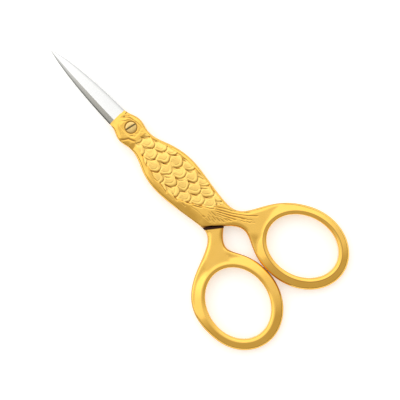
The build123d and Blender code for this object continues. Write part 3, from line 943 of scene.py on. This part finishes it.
def scale_tree():
    """The tree that cuts rows of scales into a face wherever its field attribute is above zero."""
    tree = bpy.data.node_groups.new("cut_scales", "GeometryNodeTree")
    names = [*SCALE_SIZES, "Face", "Pivot X", "Pivot Y"]
    kinds = {"Geometry": "Geometry", **dict.fromkeys(names, "Float"), "Material": "Material", "Seed": "Int"}
    for label, kind in kinds.items():
        tree.interface.new_socket(label, in_out="INPUT", socket_type="NodeSocket" + kind)
    tree.interface.new_socket("Geometry", in_out="OUTPUT", socket_type="NodeSocketGeometry")
    given = tree.nodes.new("NodeGroupInput")
    take = {label: Measure(tree, given.outputs[label]) for label in names}
    position = add_node(tree, "GeometryNodeInputPosition").outputs[0]
    split = add_node(tree, "ShaderNodeSeparateXYZ", {0: position})
    x = (Measure(tree, split.outputs["X"]) - take["Pivot X"]) * (1 / MM)
    y = (Measure(tree, split.outputs["Y"]) - take["Pivot Y"]) * (1 / MM)
    drift = add_node(tree, "ShaderNodeTexNoise", {"Scale": WANDER_SCALE, "Detail": 1.0})
    apart = add_node(tree, "ShaderNodeSeparateXYZ", {0: drift.outputs["Color"]})
    x = x + (Measure(tree, apart.outputs[0]) - 0.5) * take["Wander"] * 2.0
    y = y + (Measure(tree, apart.outputs[1]) - 0.5) * take["Wander"] * 2.0 + x * take["Row slope"]
    pitch, width = take["Row pitch"], take["Scale width"]
    overlap = take["Tip length"] / pitch
    down = (take["First tip"] + take["Tip length"] - y) / pitch
    upper_row = down.math("FLOOR")

    def row_of_scales(row):
        """For one row: the place across a scale from -1 to 1, how round the scale still is there, how far up
        from its tip, and the scale's own random number."""
        odd = row.math("MODULO", 2.0).math("ABSOLUTE")
        turned = (x - take["First centre"] - odd * width * 0.5) / width + 0.5
        column = turned.math("FLOOR")
        across = (turned - column - 0.5) * 2.0
        number = add_node(tree, "FunctionNodeRandomValue", {
            "ID": (row * NUMBERS_A_ROW + column).socket, "Seed": given.outputs["Seed"]}, data_type="FLOAT")
        chance = Measure(tree, number.outputs[1])
        left = (across * across).less_from(1.0).math("MAXIMUM", 0.0)
        tips = overlap * (chance * TIP_CHANCE).less_from(1.0) * left.math("SQRT")
        return across, left, row + tips - down, chance

    across_a, left_a, from_tip_a, chance_a = row_of_scales(upper_row)
    across_b, left_b, from_tip_b, chance_b = row_of_scales(upper_row + 1.0)
    on_upper = from_tip_a.math("GREATER_THAN", 0.0)
    steep = take["Tip length"] * 2.0 / width

    def square_to_rim(from_tip, across, left):
        """The distance to a scale's rim, from the distance along the body."""
        lean = (left + across * across * steep * steep + 0.0001).math("SQRT")
        return from_tip * pitch * left.math("SQRT") / lean

    def pick(a, b):
        return a * on_upper + b * on_upper.less_from(1.0)

    across, left = pick(across_a, across_b), pick(left_a, left_b)
    from_tip = pick(from_tip_a, from_tip_b)
    squared = across * across
    from_rim = square_to_rim(from_tip, across, left)
    from_tip = from_tip * pitch
    beyond = square_to_rim(from_tip_a, across_a, left_a).math("ABSOLUTE") + on_upper * OUT_OF_REACH
    foot = (beyond / take["Foot width"]).less_from(1.0).math("MAXIMUM", 0.0)
    slope = from_tip / (pitch + take["Tip length"]) * take["Root drop"]
    sides = squared * take["Side drop"]
    line = ((from_rim - take["Line inset"]).math("ABSOLUTE") / take["Line width"]).less_from(1.0).math("MAXIMUM", 0.0)
    rim = (from_rim / take["Rim width"]).less_from(1.0).math("MAXIMUM", 0.0)
    tilt = across * (pick(chance_a, chance_b) - 0.5) * take["Tilt"]
    drop = (slope + sides + tilt + line * take["Line depth"] + rim * rim * take["Rim depth"]
            + foot * take["Foot depth"])

    def laid_on(label):
        """What the carved face's attribute says."""
        node = add_node(tree, "GeometryNodeInputNamedAttribute", {"Name": label}, data_type="FLOAT")
        return Measure(tree, node.outputs["Attribute"])

    field = laid_on("field")
    # Painted shade: dark at the foot under each scale's tip and in its inner line, stored as hollow
    dark = (foot * foot * FOOT_DARK + line * LINE_DARK) * field + laid_on("cut_and_shade") * CUT_DARK
    offset = add_node(tree, "ShaderNodeCombineXYZ", {"Z": (drop * field * take["Face"] * -MM).socket})
    store = add_node(tree, "GeometryNodeStoreNamedAttribute", {
        "Geometry": given.outputs["Geometry"], "Name": "hollow", "Value": dark.socket},
        data_type="FLOAT", domain="POINT")
    move = add_node(tree, "GeometryNodeSetPosition",
                    {"Geometry": store.outputs["Geometry"], "Offset": offset.outputs[0]})
    realize = add_node(tree, "GeometryNodeRealizeInstances", {"Geometry": move.outputs["Geometry"]})
    finish = add_node(tree, "GeometryNodeSetMaterial",
                      {"Geometry": realize.outputs["Geometry"], "Material": given.outputs["Material"]})
    add_node(tree, "NodeGroupOutput", {"Geometry": finish.outputs["Geometry"]})
    return tree


def made_plain(piece):
    """Turn what a piece's modifiers make into its own mesh."""
    shaped = bpy.data.meshes.new_from_object(piece.evaluated_get(bpy.context.evaluated_depsgraph_get()))
    piece.modifiers.clear()
    piece.data = shaped


cut_scales = scale_tree()
sockets = {item.name: item.identifier for item in cut_scales.interface.items_tree if item.in_out == "INPUT"}
for handle, face in ((front_handle, 1.0), (back_handle, -1.0)):
    modifier = handle.modifiers.new("scales", "NODES")
    modifier.node_group = cut_scales
    for label, value in {**SCALE_SIZES, "Face": face, "Pivot X": pivot.x, "Pivot Y": pivot.y,
                         "Material": gilding, "Seed": SCALE_SEED}.items():
        modifier[sockets[label]] = value
    made_plain(handle)

for handle, node, body in ((front_handle, "front_handle", "front_half"), (back_handle, "back_handle", "back_half")):
    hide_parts(node)
    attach(handle, body)

# The pivot screw
# A turned screw of paler gilt steel. Its slotted head, faintly domed, sits in the front half's seat and is the eye;
# its stem is threaded into the back half and dressed off flush.
SCREW_PROFILE = [(0.0, 2.25), (0.5, 2.245), (0.95, 2.225), (1.35, 2.18), (1.62, 2.11), (1.75, 2.02), (1.8, 1.9),
                 (1.8, 1.56), (1.74, 1.5), (1.2, 1.5), (1.2, -1.82), (1.12, -1.95), (0.9, -1.99), (0.0, -2.0)]
SCREW_TURNS = 72
SLOT_WIDTH = 0.55
SLOT_DEPTH = 0.4
SLOT_ANGLE = -14.0
SLOT_OFFSET = 0.2
SLOT_REACH = 3.0
SOFTENED = 0.00004
SOFTENED_FROM = 50
SCREW_SHARP_ANGLE = 35
SCREW_DARK = (0.80, 0.53, 0.17, 1.0)
SCREW_LIGHT = (0.91, 0.66, 0.27, 1.0)
# The slot's floor is painted near black as its shadow, below a set height
SLOT_SHADOW = (0.05, 0.035, 0.015, 1.0)
SLOT_SHADOW_TO = (0.00180, 0.00205)
SCREW_ROUGHNESS = (0.18, 0.36)

screw_gilding, tree, shader, place = metal("screw_gilding")
centred = add_node(tree, "ShaderNodeMapping", {"Vector": place, "Location": tuple(-pivot)}).outputs["Vector"]
turning = add_node(tree, "ShaderNodeTexWave", {"Vector": centred, "Scale": 2400.0, "Distortion": 1.2},
                   wave_type="RINGS", rings_direction="Z").outputs["Fac"]
wear = noise(tree, place, scale=900.0, detail=4.0)
level = add_node(tree, "ShaderNodeSeparateXYZ", {"Vector": centred}).outputs["Z"]
# Painted shadow in the slot
feed(tree, shader, {
    "Base Color": mixed(tree, ranged(tree, level, *SLOT_SHADOW_TO, 1.0, 0.0),
                        mixed(tree, wear, SCREW_DARK, SCREW_LIGHT), SLOT_SHADOW),
    "Roughness": ranged(tree, wear, 0.0, 1.0, *SCREW_ROUGHNESS),
    "Normal": bumped(tree, turning, strength=0.2, distance=0.00001)})

turns = np.linspace(0.0, tau, SCREW_TURNS, endpoint=False)
round_points = [[(r * cos(a), r * sin(a), z) for a in turns] for r, z in SCREW_PROFILE[1:-1]]
points = [point for ring in round_points for point in ring]
points += [(0, 0, SCREW_PROFILE[0][1]), (0, 0, SCREW_PROFILE[-1][1])]
faces = ring_faces(len(round_points), SCREW_TURNS)
last = (len(round_points) - 1) * SCREW_TURNS
faces += [[k, (k + 1) % SCREW_TURNS, len(points) - 2] for k in range(SCREW_TURNS)]
faces += [[last + k, last + (k + 1) % SCREW_TURNS, len(points) - 1] for k in range(SCREW_TURNS)]
screw = solid_mesh("pivot_screw_slotted", in_place(points), faces, screw_gilding, SCREW_SHARP_ANGLE)

angle = radians(SLOT_ANGLE)
slot_along, slot_across = np.array((cos(angle), sin(angle))), np.array((-sin(angle), cos(angle)))
corners = [(*(u * slot_along * SLOT_REACH + (SLOT_OFFSET + v * SLOT_WIDTH / 2) * slot_across), z)
           for z in (SCREW_PROFILE[0][1] - SLOT_DEPTH, SLOT_REACH)
           for u, v in ((-1, -1), (1, -1), (1, 1), (-1, 1))]
sides = [(0, 1, 2, 3), (4, 5, 6, 7), (0, 1, 5, 4), (1, 2, 6, 5), (2, 3, 7, 6), (3, 0, 4, 7)]
cutter = solid_mesh("slot_cutter", in_place(corners), sides, screw_gilding, SCREW_SHARP_ANGLE)
slotting = screw.modifiers.new("slot", "BOOLEAN")
slotting.object = cutter
slotting.operation = "DIFFERENCE"
slotting.solver = "EXACT"
softened = screw.modifiers.new("softened", "BEVEL")
softened.width = SOFTENED
softened.segments = 2
softened.limit_method = "ANGLE"
softened.angle_limit = radians(SOFTENED_FROM)
made_plain(screw)
bpy.data.objects.remove(cutter)
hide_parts("pivot_screw")
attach(screw, "back_half")
